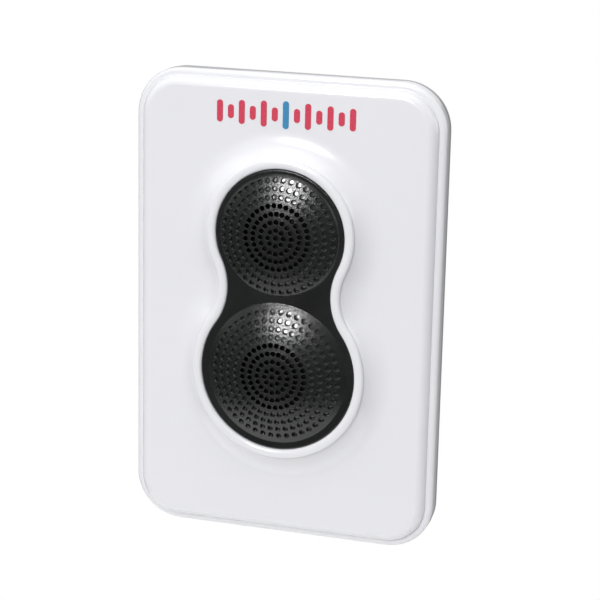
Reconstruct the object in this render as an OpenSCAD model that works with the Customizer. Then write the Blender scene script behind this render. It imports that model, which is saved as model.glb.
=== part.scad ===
// Wall-hung ultrasonic pest repeller with two piezo sounders behind a domed figure-of-eight grille.
// Every piece is drawn lying on its back: x across, y up the case, z out from the wall.
// upright() then stands it up with its front towards -Y and its hanging point at the origin.

/* [Case] */
// Width of the case
case_w = 87; // [80:1:110]
// Height of the case
case_h = 130; // [124:1:160]
// Radius of the case corners, seen from the front
corner_r = 13; // [12.5:0.5:18]
// Wall thickness of the front cover
front_wall = 2.2; // [1.6:0.1:2.4]
// Wall thickness of the rear cover
rear_wall = 2; // [1.6:0.1:2.4]
// Depth of the narrow tray behind the rim
tray_depth = 15; // [14:0.5:24]
// How far the tray stands in from the sides of the case
tray_inset = 7; // [5:0.5:8]
// Depth of the rear cover's rim
rim_depth = 2.8; // [2.4:0.1:5]
// How far the rim stands in from the front cover's sides
rim_inset = 0.2; // [0:0.05:0.6]
// Depth of the front cover's side wall
side_depth = 3.6; // [3.2:0.1:8]
// Radius of the shoulder between side wall and flange
shoulder_r = 1.2; // [0.6:0.1:1.4]
// Width from the side to the foot of the raised panel
flange_w = 2; // [1.6:0.1:2.4]
// Height of the raised panel above the flange
panel_rise = 2.5; // [1:0.1:3]
// Gap between the front cover and the rear cover's locating tongue
tongue_gap = 0.2; // [0.1:0.05:0.3]
// Height of the rear cover's locating tongue
tongue_h = 1; // [0.6:0.1:1.2]
// Thickness of the locating tongue
tongue_t = 1.2; // [0.8:0.1:1.4]

/* [Grille] */
// Radius of the opening's upper lobe
lobe_r_up = 18.2; // [18:0.1:20]
// Radius of the opening's lower lobe
lobe_r_low = 21.9; // [21:0.1:23]
// Height of the upper lobe's centre above the middle of the case
lobe_y_up = 22.3; // [21:0.1:25]
// How far the two lobes' circles reach into each other
lobe_bite = 1.5; // [0.5:0.1:3]
// Radius of the hollow curve at the neck
neck_r = 17.9; // [16:0.1:20]
// Width of the collar's lip
lip_w = 2.7; // [2.4:0.1:3.2]
// Rounding of the lip's two top edges
lip_round = 1; // [0.5:0.1:1.2]
// Height of the lip above the raised panel
lip_rise = 4.4; // [4:0.1:6]
// Thickness of the ledge under the lip that holds the grille
ledge_t = 1.8; // [1.4:0.1:2]
// How far the lip's crest stands above the top of the collar's flank
lip_stand = 1.2; // [0.8:0.1:1.4]
// Width of the collar's hollow flank
flank_w = 7.3; // [5:0.1:8]
// Gap between grille and opening
grille_gap = 0.15; // [0.1:0.05:0.3]
// How far the grille's flat rim sits below the lip's crest
rim_sink = 0.6; // [0.3:0.1:1.2]
// Thickness of the grille
grille_t = 1.6; // [1.2:0.1:1.7]
// Width of the grille's holding flange under the lip
flange_grip = 1.9; // [1.5:0.1:1.9]
// Thickness of the holding flange
flange_t = 1.2; // [0.8:0.1:1.4]
// Thickness of the grille's skirt
skirt_t = 0.9; // [0.7:0.1:1]
// Width of the flat rim round the upper dome
dome_rim_up = 1.15; // [1.1:0.05:1.5]
// Height of the upper dome
dome_h_up = 3.5; // [2:0.1:6]
// Width of the flat rim round the lower dome
dome_rim_low = 1.95; // [1.1:0.05:2.4]
// Height of the lower dome
dome_h_low = 4.5; // [2:0.1:6]
// Distance from one ring of holes to the next
hole_pitch = 2.2; // [2:0.05:2.25]
// Diameter of each sound hole
hole_d = 1.4; // [1:0.1:1.5]

/* [Sounders] */
// Width of a sounder's mounting flange round its cup
sounder_flange_w = 4; // [3.9:0.1:4.6]
// Radius of a sounder's cup
cup_r = 11; // [10:0.1:11]
// Depth of a sounder's cup behind its flange
cup_depth = 7; // [6:0.1:7.5]
// Thickness of a sounder's flange
sounder_flange_t = 1.5; // [1:0.1:2]
// Wall thickness of a sounder's cup
cup_wall = 1.2; // [0.8:0.1:1.4]
// Width of the step inside a sounder's cup
cup_step = 1; // [0.8:0.1:1.4]
// Gap between the brass plate of the piezo element and its cup
plate_gap = 1.3; // [0.4:0.1:2]
// Radius of the ceramic disc on the brass plate
ceramic_r = 5; // [4:0.1:6]
// Distance of the posts' centres inside the edge of a sounder's flange
post_in = 2.1; // [2:0.1:2.3]
// Diameter of a grille post
post_d = 3.8; // [3.4:0.1:4]

/* [Circuit board] */
// Width of the circuit board
board_w = 48; // [44:1:50]
// Height of the circuit board
board_h = 84; // [80:1:86]
// Thickness of the circuit board
board_t = 1.6; // [1:0.2:1.6]
// Height of the board's standoffs above the tray floor
standoff_h = 2; // [2:0.1:4]
// Gap between the board's lower edge and the tray's lower wall
board_gap = 1; // [0.6:0.1:3]

/* [Edge fittings] */
// Distance of the power socket from the middle of the case
jack_x = 12; // [8:0.5:13]
// Width of the power socket
jack_w = 9; // [8:0.1:9]
// Bore of the power socket
jack_bore_d = 5.8; // [5.6:0.1:6]
// Diameter of the power socket's centre pin
jack_pin_d = 2.1; // [2:0.1:2.5]
// Distance of the mode switch from the middle of the case
switch_x = 12; // [9:0.5:12]
// Length of the mode switch's body
switch_l = 13; // [12:0.5:15]
// Travel of the mode switch's knob
switch_travel = 4; // [2:0.5:4]
// Width of the knob
knob_w = 4; // [3:0.5:4]
// Height of the knob
knob_h = 3; // [2:0.5:3.5]
// How far the knob stands out of the case
knob_out = 1.6; // [1:0.1:2]
// Running gap round the knob
knob_gap = 0.35; // [0.3:0.05:0.5]
// Distance of the printed mark's middle from the top of the case
mark_in = 10.5; // [8.5:0.1:10.5]
// Diameter of the indicator lamp
led_d = 3; // [3:0.5:5]

/* [Fixings] */
// Distance between the two keyholes
keyhole_spacing = 40; // [30:1:50]
// Width of the wall screw's shank slot
keyhole_slot_w = 4.2; // [3.5:0.1:5]
// Diameter of the hole that takes the wall screw's head
keyhole_head_d = 8.4; // [7.5:0.1:9]
// Length from the head hole's centre to the seat of the shank
keyhole_drop = 6; // [5:0.5:8]
// Distance of the keyhole seats below the top of the case
keyhole_below_top = 17; // [16.5:0.5:22]
// Distance of the case screws from the sides of the case
case_screw_in = 14; // [13.5:0.5:16]
// Diameter of the case screws' thread
case_screw_d = 2.9; // [2.5:0.1:3.1]
// Diameter of the case screws' heads
case_head_d = 5.4; // [5:0.1:5.6]
// Length of the case screws' thread
case_screw_l = 12; // [8:0.5:12]
// Diameter of the small screws' thread
small_screw_d = 1.9; // [1.7:0.1:2]
// Diameter of the small screws' heads
small_head_d = 3.6; // [3.2:0.1:3.8]
// Length of the small screws' thread
small_screw_l = 5; // [4:0.5:5.5]
// Gap between a thread and its hole
thread_gap = 0.04; // [0.02:0.01:0.1]
// Gap round the rubber pads and the rating plate
seat_gap = 0.1; // [0.05:0.05:0.3]

/* [Hidden] */

$fn = 96;
FINE = 160;
HOLE_FN = 20;

// Levels above the wall
rim_z = tray_depth;
split_z = rim_z + rim_depth;
flange_z = split_z + side_depth;
panel_z = flange_z + panel_rise;
panel_under = panel_z - front_wall;
lip_z = panel_z + lip_rise;
grille_z = lip_z - rim_sink;
ledge_z = lip_z - ledge_t;
hang_y = case_h / 2 - keyhole_below_top;

// Opening: the neck arcs touch both lobes
lobe_gap = lobe_r_up + lobe_r_low - lobe_bite;
lobe_y_low = lobe_gap - lobe_y_up;
lobe_up = [0, lobe_y_up];
lobe_low = [0, -lobe_y_low];
reach_up = lobe_r_up + neck_r;
reach_low = lobe_r_low + neck_r;
neck_rise = (lobe_gap * lobe_gap + reach_low * reach_low - reach_up * reach_up) / (2 * lobe_gap);
neck_x = sqrt(reach_low * reach_low - neck_rise * neck_rise);
neck_y = neck_rise - lobe_y_low;
angle_up = atan2(neck_y - lobe_y_up, neck_x);
angle_low = atan2(neck_rise, neck_x);

// Collar
collar_w = lip_w + flank_w;
flank_h = lip_rise - lip_stand;
foot_sink = 0.12;
flank_drop = flank_h + foot_sink;
flank_r = (flank_w * flank_w + flank_drop * flank_drop) / (2 * flank_drop);
pocket_w = flange_grip + grille_gap;

// Rings of holes: how many stand in each ring outwards from the centre hole
ring_counts = [8, 16, 26, 32];
hole_margin = 0.3;
dome_r_up = lobe_r_up - grille_gap - dome_rim_up;
dome_r_low = lobe_r_low - grille_gap - dome_rim_low;

// Grille ears and sounders
ear_t = 1.5;
ear_reach = 8.5;
ear_r = 2.7;
ear_top = panel_under - 3;
sounder_z = ear_top + 2.3;
skirt_z = ear_top - ear_t;
cup_z = sounder_z - sounder_flange_t - cup_depth;
plate_z = cup_z + cup_wall + 1.2;
plate_t = 0.25;
ceramic_t = 0.3;
cone_t = 0.35;
cone_neck_r = 2.6;
sounder_r = cup_r + sounder_flange_w;
cup_bore_r = cup_r - cup_wall - cup_step;
plate_r = cup_bore_r - plate_gap;
post_circle_r = sounder_r - post_in;
post_angles = [90, 210, 330];

// Board
tray_low = -case_h / 2 + tray_inset + rear_wall;
board_z = rear_wall + standoff_h;
board_top = board_z + board_t;
board_low = tray_low + board_gap;
board_mid = board_low + board_h / 2;
board_hole_in = 3.5;
standoff_d = 5.4;
board_screw_l = board_t + standoff_h + 0.6;
fit_z = board_top + 4;

// Switch and socket
switch_h = 6;
switch_d = 5.5;
switch_wall = 0.8;
switch_face = tray_low + 0.3;
knob_foot_w = knob_w + 2;
knob_foot_d = 2.4;
jack_l = 12;
jack_nose = 1.6;
jack_nose_d = 7.6;
jack_face = tray_low + 0.2;
led_flange_d = led_d + 0.8;

// Board fittings
coil_r = 5.2;
coil_h = 9;
coil_flange_t = 0.9;
coil_core_r = 2;
coil_place = [for (s = [-1, 1]) [s * 17.5, board_mid + 12]];
can_r = 4;
can_h = 11;
can_place = [[17.5, board_low + 24], [-17.5, board_low + 24]];
film_size = [7.2, 3, 7];
film_place = [for (s = [-1, 1]) [s * 17.5, board_mid - 9]];
resistor_r = 1.15;
resistor_l = 6;
resistor_gap = 3.4;
resistor_rows = 5;
transistor_place = [for (s = [-1, 1]) [s * 17.5, board_mid + 24]];
chip_size = [6.4, 19.2, 3.3];
chip_y = board_mid + 3;

// Clearances that only keep neighbours apart
boss_d = 7;
boss_seat = 5;
head_seat = 3;
seat_d = 9;
pad_d = 9;
pad_t = 1.6;
pad_sink = 0.8;
plate_w = 34;
plate_h = 22;
plate_sink = 0.4;
label_t = 0.3;
ink_t = 0.08;
bar_w = 1.7;
bar_h = 7.5;
bar_gap = 3.1;
bar_count = 6;

// ---- Shared helpers ----

module upright() {
    translate([0, pad_sink - pad_t, -hang_y])
        rotate([90, 0, 0])
            children();
}

// Rounded rectangle with true arcs
module rounded_plan(w, h, r) {
    square([w - 2 * r, h], center = true);
    square([w, h - 2 * r], center = true);
    for (sx = [-1, 1], sy = [-1, 1])
        translate([sx * (w / 2 - r), sy * (h / 2 - r)])
            circle(r = r, $fn = FINE);
}

// Carries a section round the case: x is inwards from the side, y is the level
module round_case() {
    w = case_w;
    h = case_h;
    r = corner_r;
    for (side = [[w / 2, 0, 0, h], [0, h / 2, 90, w], [-w / 2, 0, 180, h], [0, -h / 2, 270, w]])
        translate([side[0], side[1], 0])
            rotate(side[2])
                rotate([90, 0, 0])
                    linear_extrude(height = side[3] - 2 * r, center = true)
                        mirror([1, 0])
                            children();
    for (turn = [[1, 1, 0], [-1, 1, 90], [-1, -1, 180], [1, -1, 270]])
        translate([turn[0] * (w / 2 - r), turn[1] * (h / 2 - r), 0])
            rotate(turn[2])
                rotate_extrude(angle = 90, $fn = FINE)
                    translate([r, 0])
                        mirror([1, 0])
                            children();
}

// Figure of eight, grown outwards by the given amount
module eight_plan(grow) {
    translate(lobe_up)
        circle(r = lobe_r_up + grow, $fn = FINE);
    translate(lobe_low)
        circle(r = lobe_r_low + grow, $fn = FINE);
    difference() {
        polygon([lobe_up, [neck_x, neck_y], lobe_low, [-neck_x, neck_y]]);
        for (s = [-1, 1])
            translate([s * neck_x, neck_y])
                circle(r = neck_r - grow, $fn = FINE);
    }
}

// Carries a section round the opening's two lobes: x is outwards from its edge, y is the level
module round_lobes() {
    translate(lobe_up)
        rotate(angle_up)
            rotate_extrude(angle = 180 - 2 * angle_up, $fn = FINE)
                translate([lobe_r_up, 0])
                    children();
    translate(lobe_low)
        rotate(180 - angle_low)
            rotate_extrude(angle = 180 + 2 * angle_low, $fn = FINE)
                translate([lobe_r_low, 0])
                    children();
}

// Carries a section round the opening's two necks, biting a little way into the lobes
module round_necks() {
    bite = 1;
    for (s = [0, 1])
        mirror([s, 0, 0])
            translate([neck_x, neck_y, 0])
                rotate(180 + angle_up - bite)
                    rotate_extrude(angle = angle_low - angle_up + 2 * bite, $fn = FINE)
                        translate([neck_r, 0])
                            mirror([1, 0])
                                children();
}

function on_circle(r, a) = [r * cos(a), r * sin(a)];

function case_screw_places() = [for (sx = [-1, 1], sy = [-1, 1])
    [sx * (case_w / 2 - case_screw_in), sy * (case_h / 2 - case_screw_in)]];

function board_screw_places() = [for (sx = [-1, 1], sy = [-1, 1])
    [sx * (board_w / 2 - board_hole_in), board_mid + sy * (board_h / 2 - board_hole_in)]];

function ear_places() = concat(
    [for (a = [45, 135]) [lobe_up, lobe_r_up + ear_reach, a]],
    [for (a = [225, 315]) [lobe_low, lobe_r_low + ear_reach, a]]);

// Pan-head screw: seat of the head at the origin, thread running up z
module pan_screw(d, head_d, length) {
    head_h = head_d * 0.36;
    slot = d * 0.28;
    difference() {
        union() {
            cylinder(d = d, h = length - d / 2);
            translate([0, 0, length - d / 2])
                cylinder(d1 = d, d2 = d * 0.3, h = d / 2);
            translate([0, 0, -head_h])
                cylinder(d1 = head_d * 0.8, d2 = head_d, h = head_h);
        }
        for (a = [0, 90])
            rotate(a)
                translate([0, 0, -head_h])
                    cube([head_d * 0.55, slot, head_h], center = true);
    }
}

// ---- Case ----

// Section of the front cover's edge
module front_edge_section() {
    inner = flange_w + panel_rise + front_wall;
    difference() {
        union() {
            translate([0, split_z])
                square([inner, side_depth - shoulder_r]);
            translate([shoulder_r, split_z])
                square([inner - shoulder_r, side_depth]);
            translate([shoulder_r, flange_z - shoulder_r])
                circle(r = shoulder_r);
            translate([flange_w + panel_rise, flange_z])
                square([front_wall, panel_rise]);
            intersection() {
                translate([flange_w + panel_rise, flange_z])
                    circle(r = panel_rise);
                translate([flange_w, flange_z])
                    square(panel_rise);
            }
        }
        translate([front_wall, split_z - 1])
            square([inner, side_depth - front_wall + 1]);
        translate([flange_w + panel_rise, split_z - 1])
            square([inner, panel_under - split_z + 1]);
    }
}

// Section of the collar: rounded lip and hollow flank, rooted in the panel's plate.
// The necks use it drawn in a little all round, so that their ends lie wholly inside the lobes.
module collar_section(drawn_in = 0) {
    low = panel_under + 0.4 + drawn_in;
    translate([drawn_in, low])
        square([lip_w - 2 * drawn_in, lip_z - lip_round - low]);
    translate([lip_round, low])
        square([lip_w - 2 * lip_round, lip_z - drawn_in - low]);
    for (x = [lip_round, lip_w - lip_round])
        translate([x, lip_z - lip_round])
            circle(r = lip_round - drawn_in);
    difference() {
        translate([lip_w / 2, low])
            square([collar_w - drawn_in - lip_w / 2, panel_z + flank_h + 0.1 - low]);
        translate([collar_w, panel_z - foot_sink + flank_r])
            circle(r = flank_r + drawn_in, $fn = FINE);
    }
}

module front_cover() {
    edge_in = flange_w + panel_rise + front_wall;
    color("white")
        upright()
            difference() {
                union() {
                    round_case()
                        front_edge_section();
                    translate([0, 0, panel_under])
                        linear_extrude(height = front_wall)
                            difference() {
                                rounded_plan(case_w - 2 * edge_in, case_h - 2 * edge_in, corner_r - edge_in);
                                eight_plan(1);
                            }
                    round_lobes()
                        collar_section();
                    round_necks()
                        collar_section(0.06);
                    for (p = case_screw_places())
                        translate([p[0], p[1], boss_seat])
                            cylinder(d = boss_d, h = panel_under - boss_seat);
                    for (e = ear_places())
                        translate(e[0] + on_circle(e[1], e[2]))
                            translate([0, 0, ear_top])
                                cylinder(r = ear_r, h = panel_under - ear_top);
                }
                translate([0, 0, panel_under - 1])
                    linear_extrude(height = ledge_z - panel_under + 1)
                        eight_plan(pocket_w);
                for (p = case_screw_places())
                    translate([p[0], p[1], boss_seat - 1])
                        cylinder(d = case_screw_d + 2 * thread_gap, h = case_screw_l);
                for (e = ear_places())
                    translate(e[0] + on_circle(e[1], e[2]))
                        translate([0, 0, ear_top - 1])
                            cylinder(d = small_screw_d + 2 * thread_gap, h = small_screw_l);
            }
}

// Keyhole cutter: head hole below, shank slot and seat above
module keyhole(depth) {
    translate([0, -keyhole_drop, -1])
        cylinder(d = keyhole_head_d, h = depth + 2);
    translate([0, 0, -1])
        cylinder(d = keyhole_slot_w, h = depth + 2);
    translate([-keyhole_slot_w / 2, -keyhole_drop, -1])
        cube([keyhole_slot_w, keyhole_drop, depth + 2]);
}

// Section of the rear cover: rim, tongue, tray wall and rounded back edge
module rear_edge_section() {
    edge_r = 2.5;
    chamfer = 0.5;
    tray_in = tray_inset + rear_wall;
    end = tray_inset + edge_r + 1;
    tongue_x = front_wall + tongue_gap;
    polygon([[rim_inset + chamfer, rim_z], [tray_in, rim_z], [tray_in, split_z],
        [rim_inset, split_z], [rim_inset, rim_z + chamfer]]);
    translate([tongue_x, split_z])
        square([tongue_t, tongue_h]);
    translate([tray_inset, edge_r])
        square([rear_wall, rim_z - edge_r]);
    difference() {
        union() {
            translate([tray_inset + edge_r, edge_r])
                circle(r = edge_r);
            translate([tray_inset + edge_r, 0])
                square([end - tray_inset - edge_r, edge_r]);
        }
        translate([tray_in, rear_wall])
            square([2 * edge_r, 2 * edge_r]);
    }
}

module rear_cover() {
    floor_in = tray_inset + 3.5;
    wall_y = -case_h / 2 + tray_inset;
    color("gray")
        upright()
            difference() {
                union() {
                    round_case()
                        rear_edge_section();
                    linear_extrude(height = rear_wall)
                        rounded_plan(case_w - 2 * floor_in, case_h - 2 * floor_in, corner_r - floor_in);
                    for (p = case_screw_places())
                        translate([p[0], p[1], rear_wall])
                            cylinder(d = seat_d, h = boss_seat - rear_wall);
                    for (p = board_screw_places())
                        translate([p[0], p[1], rear_wall])
                            cylinder(d = standoff_d, h = standoff_h);
                }
                for (p = case_screw_places())
                    translate([p[0], p[1], 0]) {
                        translate([0, 0, -1])
                            cylinder(d = case_screw_d + 0.6, h = boss_seat + 2);
                        translate([0, 0, -1])
                            cylinder(d = case_head_d + 0.6, h = head_seat + 1);
                    }
                for (p = board_screw_places())
                    translate([p[0], p[1], board_top - board_screw_l - 0.4])
                        cylinder(d = small_screw_d + 2 * thread_gap, h = board_screw_l);
                for (s = [-1, 1])
                    translate([s * keyhole_spacing / 2, hang_y, 0])
                        keyhole(rear_wall);
                translate([jack_x, wall_y - 1, fit_z])
                    rotate([-90, 0, 0])
                        cylinder(d = jack_nose_d + 0.4, h = rear_wall + 2);
                translate([0, wall_y - 1, fit_z])
                    rotate([-90, 0, 0])
                        cylinder(d = led_d + 0.2, h = rear_wall + 2);
                translate([-switch_x, wall_y + rear_wall / 2, fit_z])
                    cube([knob_w + switch_travel + 2 * knob_gap, rear_wall + 2, knob_h + 2 * knob_gap],
                        center = true);
                for (p = pad_places())
                    translate([p[0], p[1], -1])
                        cylinder(d = pad_d + 2 * seat_gap, h = pad_sink + 1);
                translate([0, 0, -1])
                    linear_extrude(height = plate_sink + 1)
                        rounded_plan(plate_w + 2 * seat_gap, plate_h + 2 * seat_gap, 2);
            }
}

function pad_places() = [for (sx = [-1, 1], sy = [-1, 1])
    [sx * (case_w / 2 - tray_inset - 9), sy * (case_h / 2 - tray_inset - 28)]];

module wall_pads() {
    color("dimgray")
        upright()
            for (p = pad_places())
                translate([p[0], p[1], pad_sink - pad_t])
                    cylinder(d = pad_d, h = pad_t);
}

module rating_plate() {
    color("silver")
        upright()
            translate([0, 0, plate_sink - label_t])
                linear_extrude(height = label_t)
                    rounded_plan(plate_w, plate_h, 2 - seat_gap);
}

// Plain motif of sound bars, printed on the panel above the grille
module printed_mark() {
    for (i = [-bar_count:bar_count])
        color(i == 0 ? "steelblue" : "crimson")
            upright()
                translate([i * bar_gap, case_h / 2 - mark_in, panel_z])
                    linear_extrude(height = ink_t)
                        rounded_plan(bar_w, i % 2 == 0 ? bar_h - abs(i) / 4 : bar_h / 2, bar_w / 2.1);
}

// ---- Grille ----

function cap_r(foot_r, h) = (foot_r * foot_r + h * h) / (2 * h);
function cap_level(r, foot_r, h) = sqrt(pow(cap_r(foot_r, h), 2) - r * r) - cap_r(foot_r, h) + h;

// How many rings of holes fit inside a circle of radius r
function rings_within(r) = min(len(ring_counts), floor((r - hole_d / 2 - hole_margin) / hole_pitch));

// Domed shell standing on the grille's plate
module dome(foot_r, h) {
    big = cap_r(foot_r, h);
    rotate_extrude($fn = FINE)
        intersection() {
            difference() {
                translate([0, grille_z + h - big])
                    circle(r = big, $fn = FINE * 4);
                translate([0, grille_z + h - big])
                    circle(r = big - grille_t, $fn = FINE * 4);
            }
            translate([0, grille_z - grille_t])
                square([foot_r, h + 2 * grille_t]);
        }
}

// Sound holes: one at the centre and full rings as far as the sounder's cup reaches
module sound_holes() {
    rings = rings_within(cup_r - cup_wall);
    low = grille_z - grille_t - 1;
    tall = max(dome_h_up, dome_h_low) + grille_t + 2;
    translate([0, 0, low])
        cylinder(d = hole_d, h = tall, $fn = HOLE_FN);
    for (k = [1:rings])
        for (i = [1:ring_counts[k - 1]])
            translate(on_circle(k * hole_pitch, 90 + (i + (k > 3 ? 0.5 : 0)) * 360 / ring_counts[k - 1]))
                translate([0, 0, low])
                    cylinder(d = hole_d, h = tall, $fn = HOLE_FN);
}

module sounder_posts(centre, foot_r, h) {
    root = grille_z + cap_level(post_circle_r, foot_r, h) - grille_t / 2;
    for (a = post_angles)
        translate(centre + on_circle(post_circle_r, a))
            translate([0, 0, sounder_z])
                cylinder(d = post_d, h = root - sounder_z);
}

module post_pilots(centre) {
    for (a = post_angles)
        translate(centre + on_circle(post_circle_r, a))
            translate([0, 0, sounder_z - 1])
                cylinder(d = small_screw_d + 2 * thread_gap, h = small_screw_l);
}

module grille() {
    color([0.13, 0.13, 0.13])
        upright()
            difference() {
                union() {
                    translate([0, 0, ledge_z - grille_gap - flange_t])
                        linear_extrude(height = flange_t)
                            difference() {
                                eight_plan(flange_grip);
                                eight_plan(-grille_gap - skirt_t);
                            }
                    translate([0, 0, skirt_z])
                        linear_extrude(height = grille_z - grille_t - skirt_z)
                            difference() {
                                eight_plan(-grille_gap);
                                eight_plan(-grille_gap - skirt_t);
                            }
                    translate([0, 0, grille_z - grille_t])
                        linear_extrude(height = grille_t)
                            difference() {
                                eight_plan(-grille_gap);
                                translate(lobe_up)
                                    circle(r = dome_r_up, $fn = FINE);
                                translate(lobe_low)
                                    circle(r = dome_r_low, $fn = FINE);
                            }
                    translate(lobe_up)
                        dome(dome_r_up, dome_h_up);
                    translate(lobe_low)
                        dome(dome_r_low, dome_h_low);
                    for (e = ear_places())
                        translate(e[0])
                            rotate(e[2])
                                translate([0, 0, skirt_z]) {
                                    translate([e[1], 0, 0])
                                        cylinder(r = ear_r, h = ear_t);
                                    translate([e[1] - ear_reach - grille_gap - skirt_t / 2, -ear_r, 0])
                                        cube([ear_reach + grille_gap + skirt_t / 2, 2 * ear_r, ear_t]);
                                }
                    sounder_posts(lobe_up, dome_r_up, dome_h_up);
                    sounder_posts(lobe_low, dome_r_low, dome_h_low);
                }
                for (centre = [lobe_up, lobe_low])
                    translate(centre)
                        sound_holes();
                post_pilots(lobe_up);
                post_pilots(lobe_low);
                for (e = ear_places())
                    translate(e[0] + on_circle(e[1], e[2]))
                        translate([0, 0, skirt_z - 1])
                            cylinder(d = small_screw_d + 0.5, h = ear_t + 2);
            }
}

module grille_screws() {
    color("lightgray")
        upright()
            for (e = ear_places())
                translate(e[0] + on_circle(e[1], e[2]))
                    translate([0, 0, skirt_z])
                        pan_screw(small_screw_d, small_head_d, small_screw_l);
}

// ---- Sounders ----

module sounder_cup(centre) {
    color([0.2, 0.2, 0.22])
        upright()
            translate(centre)
                difference() {
                    union() {
                        translate([0, 0, cup_z])
                            cylinder(r = cup_r, h = cup_depth);
                        translate([0, 0, sounder_z - sounder_flange_t])
                            cylinder(r = sounder_r, h = sounder_flange_t);
                    }
                    translate([0, 0, cup_z + cup_wall])
                        cylinder(r = cup_bore_r, h = cup_depth + sounder_flange_t);
                    translate([0, 0, sounder_z - sounder_flange_t - cone_t])
                        cylinder(r = cup_r - cup_wall, h = sounder_flange_t + 1);
                    translate([0, 0, cup_z - 1])
                        cylinder(r = 3, h = cup_wall + 2);
                    for (s = [-1, 1])
                        translate([s * 6, 0, cup_z])
                            cube([0.7, 2.4, 3 * cup_wall], center = true);
                    for (a = post_angles)
                        translate(on_circle(post_circle_r, a))
                            translate([0, 0, sounder_z - sounder_flange_t - 1])
                                cylinder(d = small_screw_d + 0.4, h = sounder_flange_t + 2);
                }
}

// Pressed paper cone with a flat rim and a narrow neck on the piezo element
module sounder_cone(centre) {
    rim_r = cup_r - cup_wall - 0.1;
    roll_r = rim_r - 1.4;
    base = sounder_z - sounder_flange_t - cone_t;
    foot = plate_z + plate_t + ceramic_t;
    color([0.75, 0.72, 0.66])
        upright()
            translate(centre)
                rotate_extrude()
                    polygon([[cone_neck_r, foot], [cone_neck_r + cone_t, foot],
                        [cone_neck_r + cone_t, foot + 0.4], [roll_r, base], [rim_r, base],
                        [rim_r, base + cone_t], [roll_r - cone_t, base + cone_t],
                        [cone_neck_r, foot + 0.4 + cone_t]]);
}

module piezo_plate(centre) {
    color("goldenrod")
        upright()
            translate(centre)
                translate([0, 0, plate_z])
                    cylinder(r = plate_r, h = plate_t);
}

module piezo_ceramic(centre) {
    color("whitesmoke")
        upright()
            translate(centre)
                translate([0, 0, plate_z + plate_t])
                    cylinder(r = ceramic_r, h = ceramic_t);
}

// Solder tags standing in the slots of the cup's back
module solder_tags(centre) {
    color("silver")
        upright()
            translate(centre)
                for (s = [-1, 1])
                    translate([s * 6, 0, cup_z - 0.4])
                        cube([0.5, 2.2, 3.2], center = true);
}

module sounder_screws() {
    color("lightgray")
        upright()
            for (centre = [lobe_up, lobe_low], a = post_angles)
                translate(centre + on_circle(post_circle_r, a))
                    translate([0, 0, sounder_z - sounder_flange_t])
                        pan_screw(small_screw_d, small_head_d, small_screw_l);
}

// ---- Leads ----

function mix_points(p, t) = let (a = 1 - t)
    a * a * a * p[0] + 3 * a * a * t * p[1] + 3 * a * t * t * p[2] + t * t * t * p[3];

function unit(v) = v / norm(v);

// Insulated wire along one smooth curve given by four points
module wire(p, r, rings = 18, sides = 8) {
    path = [for (i = [0:rings]) mix_points(p, i / rings)];
    side = unit(cross(p[3] - p[0], p[1] - p[0]));
    ring = [for (i = [0:rings])
        let (run = unit(path[min(i + 1, rings)] - path[max(i - 1, 0)]))
        let (up = unit(cross(run, side)))
        let (out = cross(up, run))
        for (k = [0:sides - 1]) path[i] + r * (cos(k * 360 / sides) * out + sin(k * 360 / sides) * up)];
    polyhedron(
        points = ring,
        faces = concat(
            [[for (k = [0:sides - 1]) k]],
            [for (i = [0:rings - 1], k = [0:sides - 1])
                [i * sides + k, (i + 1) * sides + k, (i + 1) * sides + (k + 1) % sides,
                    i * sides + (k + 1) % sides]],
            [[for (k = [sides - 1:-1:0]) rings * sides + k]]));
}

module leads(centre) {
    tag_low = cup_z - 1.5;
    tag_face = centre[1] - 1.45;
    land = [11.5, centre[1] - 12];
    for (s = [-1, 1])
        color(s > 0 ? "firebrick" : "black")
            upright()
                wire([
                    [s * 6, tag_face, tag_low],
                    [s * 6.5, tag_face - 4, tag_low - 0.2],
                    [s * land[0], land[1], board_top + 4],
                    [s * land[0], land[1], board_top + 0.05]], 0.6);
}

// ---- Circuit board ----

module main_board() {
    color("darkgreen")
        upright()
            difference() {
                translate([0, board_mid, board_z])
                    linear_extrude(height = board_t)
                        rounded_plan(board_w, board_h, 1.5);
                for (p = board_screw_places())
                    translate([p[0], p[1], board_z - 1])
                        cylinder(d = small_screw_d + 0.4, h = board_t + 2);
            }
}

module board_screws() {
    color("lightgray")
        upright()
            for (p = board_screw_places())
                translate([p[0], p[1], board_top])
                    mirror([0, 0, 1])
                        pan_screw(small_screw_d, small_head_d, board_screw_l);
}

// Body with a row of bent pins down each side
module oscillator_chip() {
    pins = 7;
    pin_w = 0.5;
    color([0.1, 0.1, 0.1])
        upright()
            translate([0, chip_y, board_top]) {
                translate([-chip_size[0] / 2, -chip_size[1] / 2, 0.4])
                    cube(chip_size);
                for (s = [-1, 1], i = [0:pins - 1])
                    translate([s * (chip_size[0] / 2 + 0.35), (i - (pins - 1) / 2) * 2.54, 1.1])
                        cube([0.9, pin_w, 2.2], center = true);
            }
}

module driver_transistors() {
    color([0.12, 0.12, 0.12])
        upright()
            for (p = transistor_place)
                translate([p[0], p[1], board_top]) {
                    translate([-3.9, -1.35, 2.4])
                        cube([7.8, 2.7, 9]);
                    for (i = [-1:1])
                        translate([i * 2.3, 0, 1.3])
                            cube([0.8, 0.5, 2.6], center = true);
                }
}

module coil_bobbins() {
    color([0.25, 0.22, 0.2])
        upright()
            for (p = coil_place)
                translate([p[0], p[1], board_top]) {
                    cylinder(r = coil_r, h = coil_flange_t);
                    cylinder(r = coil_core_r, h = coil_h);
                    translate([0, 0, coil_h - coil_flange_t])
                        cylinder(r = coil_r, h = coil_flange_t);
                }
}

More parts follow.
